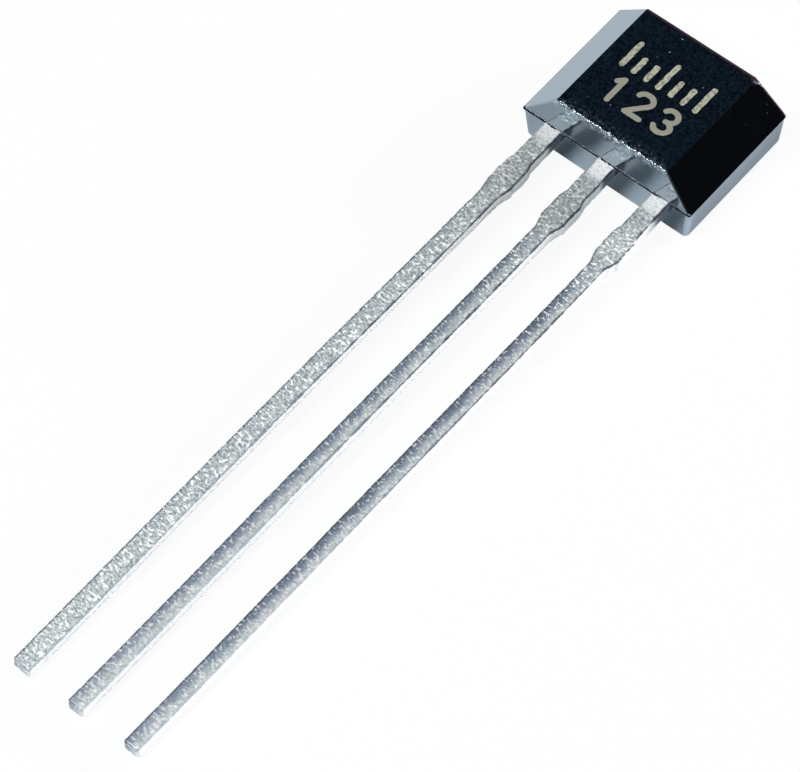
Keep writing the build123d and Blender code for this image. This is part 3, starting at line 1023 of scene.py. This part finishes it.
class SENSOR_OT_add_leads(bpy.types.Operator):
    """Adds the three plated leads, each with its paddle or bond post inside the moulding"""

    bl_idname = "sensor.add_leads"
    bl_label = "Plated leads"

    def execute(self, context):
        settings = context.scene.sensor_leads
        material = tin_material(settings)
        post_low = np.array([RIGHT_LEAD_LOW[0], RIGHT_LEAD_HIGH[1] - POST_HEIGHT])
        post_high = RIGHT_LEAD_HIGH[:2]
        pitch = post_high[0] - POST_OVERHANG - settings.root_width / 2
        paddle_half = np.array([MIDDLE_LEAD_HIGH[0], PADDLE_HALF_HEIGHT])
        paddle_centre = np.array([0.0, (CHIP_LOW[1] + CHIP_HIGH[1]) / 2])
        paddle_low, paddle_high = paddle_centre - paddle_half, paddle_centre + paddle_half
        tie_low = np.array([-TIE_HALF_WIDTH, paddle_high[1] - 2 * SEAM])
        tie_high = np.array([TIE_HALF_WIDTH, MIDDLE_LEAD_HIGH[1]])
        paddle = solid_plate(paddle_low, paddle_high, PADDLE_RADIUS)
        tie_bar = solid_plate(tie_low, tie_high, TIE_RADIUS)
        left_post, right_post = (self.bond_post(side, pitch, post_low, post_high) for side in (-1, 1))
        leads = {
            "supply_lead": (LEFT_LEAD, -pitch, post_low[1], [left_post]),
            "output_lead": (RIGHT_LEAD, pitch, post_low[1], [right_post]),
            "ground_lead": (MIDDLE_LEAD, 0.0, paddle_low[1], [paddle, tie_bar]),
        }
        for name, (place, centre_x, plate_end, plates) in leads.items():
            rows, poles, colours = lead_rows(settings, place, centre_x, LEAD_END - plate_end - SEAM)
            surfaces = [closed_surface(rows, *poles), *plates]
            paint(piece_from(f"{name}_plated", surfaces, material, [name]), colours)
        return {"FINISHED"}

    def bond_post(self, side, pitch, low, high):
        """The bond post of the left or right outer lead, from the corners of the right one in plan."""
        left_x, right_x = sorted((side * low[0], side * high[0]))
        hole_centre = np.array([side * pitch, (low[1] + high[1]) / 2])
        return holed_plate((left_x, low[1]), (right_x, high[1]), POST_RADIUS, hole_centre, LOCK_HOLE_RADIUS)


class SENSOR_OT_add_marking(bpy.types.Operator):
    """Adds the plain marking: a row of strokes and the pin numbers one to three"""

    bl_idname = "sensor.add_marking"
    bl_label = "Plain marking"

    def execute(self, context):
        settings = context.scene.sensor_marking
        paths = []
        for place, figure in enumerate((1, 2, 3)):
            middle = np.array([(place - 1) * settings.figure_pitch, settings.figure_row])
            strokes = figure_paths(figure, settings.figure_width, settings.figure_height - settings.stroke)
            paths += [stroke + middle for stroke in strokes]
        for place in range(-3, 4):
            height = settings.short_stroke if place % 3 else settings.long_stroke
            x = place * settings.scale_pitch
            low = settings.scale_row - settings.long_stroke / 2
            paths.append(line_path((x, low), (x, low + height)))
        surfaces = [
            ribbon(
                path,
                settings.stroke,
                FRONT_HEIGHT - MARK_EMBED,
                settings.skin + MARK_EMBED + MARK_STEP * order,
                settings.ragged if order >= FIRST_RAGGED_MARK else 0.0,
            )
            for order, path in enumerate(paths)
        ]
        material = marking_material(settings)
        piece_from("package_marking", surfaces, material, smooth=False)
        return {"FINISHED"}


class SENSOR_OT_finish_inside(bpy.types.Operator):
    """Gives the chip, its adhesive and the bond wires their finishes"""

    bl_idname = "sensor.finish_inside"
    bl_label = "Sealed pieces"

    def execute(self, context):
        settings = context.scene.sensor_inside
        gold = gold_material(settings)
        finishes = {
            "sensor_chip": silicon_material(settings),
            "chip_adhesive": adhesive_material(settings),
            "supply_wire": gold,
            "ground_wire": gold,
            "output_wire": gold,
        }
        for name, material in finishes.items():
            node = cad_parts[name]
            node.data.materials.clear()
            node.data.materials.append(material)
        return {"FINISHED"}


class SENSOR_OT_add_stage(bpy.types.Operator):
    """Adds the pale floor, the soft lamps, the surroundings and the camera"""

    bl_idname = "sensor.add_stage"
    bl_label = "Studio"

    def execute(self, context):
        settings = context.scene.sensor_stage
        self.add_floor(context, settings)
        for name, (direction, distance, side, field) in LAMPS.items():
            self.add_lamp(context, name, direction, distance * MM, side * MM, getattr(settings, field))
        self.add_surroundings(context, settings)
        self.add_camera(context, settings)
        context.scene.view_settings.view_transform = "Standard"
        return {"FINISHED"}

    def whiten(self, recipe, settings, camera_share, shader, white):
        """Shows a share of plain white to the camera and through glass, and the shader to all other rays."""
        path = recipe.add("ShaderNodeLightPath").outputs
        seen = recipe.product(recipe.larger(path["Is Camera Ray"], path["Is Transmission Ray"]), camera_share)
        gloss = recipe.product(path["Is Glossy Ray"], settings.gloss_share)
        inputs = {0: recipe.larger(seen, gloss), 1: shader.outputs[0], 2: white.outputs[0]}
        return recipe.show(recipe.add("ShaderNodeMixShader", inputs))

    def add_floor(self, context, settings):
        """A square floor that touches the package's lower edge and the lead tips, as the part would rest."""
        half = settings.floor_size / 2
        rest_edge = LEAD_END + PARTING_HEIGHT * math.tan(context.scene.sensor_moulding.back_end_draft)
        slope = (FRAME_BOTTOM - TIP_DROP) / (rest_edge - MIDDLE_LEAD_LOW[1])
        corners = np.array([(-half, -half), (half, -half), (half, half), (-half, half)])
        heights = -(corners[:, 1] - rest_edge) * slope - FLOOR_GAP
        mesh = bpy.data.meshes.new("floor")
        mesh.from_pydata(np.column_stack([corners, heights]).tolist(), [], [(0, 1, 2, 3)])
        recipe = new_recipe("pale floor")
        faint = recipe.ramp(recipe.noise(0.05, 2.0), 0.3, 0.7, 0.985, 1.0)
        tint = recipe.blend(faint, darker(settings.floor_colour, 0.97), settings.floor_colour)
        paper = recipe.add("ShaderNodeBsdfDiffuse", {"Color": tint})
        white = recipe.add("ShaderNodeEmission", {"Color": (1, 1, 1), "Strength": 1.0})
        mesh.materials.append(self.whiten(recipe, settings, 1.0 - settings.shadow_share, paper, white))
        floor = bpy.data.objects.new("floor", mesh)
        context.scene.collection.objects.link(floor)

    def add_lamp(self, context, name, direction, distance, side, radiance):
        """A square soft lamp that faces the part: its power is radiance times pi times its area."""
        lamp = bpy.data.lights.new(name, "AREA")
        lamp.shape = "SQUARE"
        lamp.size = side
        lamp.energy = radiance * math.pi * side * side
        direction = unit(np.array(direction))
        across = unit(np.cross((0.0, 0.0, 1.0), direction))
        place = np.array(LAMP_AIM) * MM + direction * distance
        holder = self.add_holder(context, name, lamp, (across, np.cross(direction, across), direction), place)
        holder.visible_camera = False

    def add_surroundings(self, context, settings):
        """Pale surroundings with a dark band of ceiling beyond the part, and white where the camera looks."""
        world = bpy.data.worlds.new("studio")
        context.scene.world = world
        recipe = Recipe(world, "ShaderNodeOutputWorld")
        way = recipe.add("ShaderNodeTexCoord").outputs["Generated"]
        beyond = recipe.add("ShaderNodeSeparateXYZ", {"Vector": way}).outputs["Y"]
        band = recipe.product(recipe.ramp(beyond, 0.0, 0.14), recipe.ramp(beyond, 0.70, 0.90, 1.0, 0.0))
        level = recipe.ramp(band, 0.0, 1.0, settings.sky, settings.ceiling)
        room = recipe.add("ShaderNodeBackground", {"Color": (1, 1, 1), "Strength": level})
        white = recipe.add("ShaderNodeBackground", {"Color": (1, 1, 1), "Strength": 1.0})
        self.whiten(recipe, settings, 1.0, room, white)

    def add_camera(self, context, settings):
        """The photograph's view."""
        camera = bpy.data.cameras.new("camera")
        camera.lens = settings.lens
        camera.sensor_width = 36.0
        camera.clip_start = 1.0 * MM
        camera.clip_end = 5.0
        right, forward = unit(np.array([CAMERA_RIGHT, CAMERA_FORWARD]))
        axes = (right, np.cross(right, forward), -forward)
        context.scene.camera = self.add_holder(context, "camera", camera, axes, np.array(CAMERA_PLACE) * MM)

    def add_holder(self, context, name, data, axes, place):
        """The object of a lamp or camera, turned so that its own axes lie along the three given ones."""
        holder = bpy.data.objects.new(name, data)
        matrix = np.eye(4)
        matrix[:3, :3] = np.column_stack(axes)
        matrix[:3, 3] = place
        holder.matrix_world = Matrix(matrix.tolist())
        context.scene.collection.objects.link(holder)
        return holder


class SENSOR_PT_panel(bpy.types.Panel):
    """Lists the pieces of the sensor and their sizes and colours"""

    bl_idname = "SENSOR_PT_panel"
    bl_label = "Moulded sensor"
    bl_space_type = "VIEW_3D"
    bl_region_type = "UI"
    bl_category = "Sensor"

    def draw(self, context):
        for operator, group in PANEL_ROWS:
            box = self.layout.box()
            box.operator(operator.bl_idname)
            settings = getattr(context.scene, group)
            for field in settings.__annotations__:
                box.prop(settings, field)


SETTINGS = {
    "sensor_moulding": MouldingSettings,
    "sensor_leads": LeadSettings,
    "sensor_marking": MarkingSettings,
    "sensor_inside": InsideSettings,
    "sensor_stage": StageSettings,
}
PANEL_ROWS = (
    (SENSOR_OT_add_moulding, "sensor_moulding"),
    (SENSOR_OT_add_leads, "sensor_leads"),
    (SENSOR_OT_add_marking, "sensor_marking"),
    (SENSOR_OT_finish_inside, "sensor_inside"),
    (SENSOR_OT_add_stage, "sensor_stage"),
)
CLASSES = (*SETTINGS.values(), *(operator for operator, _ in PANEL_ROWS), SENSOR_PT_panel)


def register():
    for kind in CLASSES:
        bpy.utils.register_class(kind)
    for name, kind in SETTINGS.items():
        setattr(bpy.types.Scene, name, bpy.props.PointerProperty(type=kind))


def unregister():
    for name in SETTINGS:
        delattr(bpy.types.Scene, name)
    for kind in reversed(CLASSES):
        bpy.utils.unregister_class(kind)


def main():
    register()
    bpy.ops.sensor.add_moulding()
    bpy.ops.sensor.add_leads()
    bpy.ops.sensor.add_marking()
    bpy.ops.sensor.finish_inside()
    bpy.ops.sensor.add_stage()


if __name__ == "__main__":
    main()
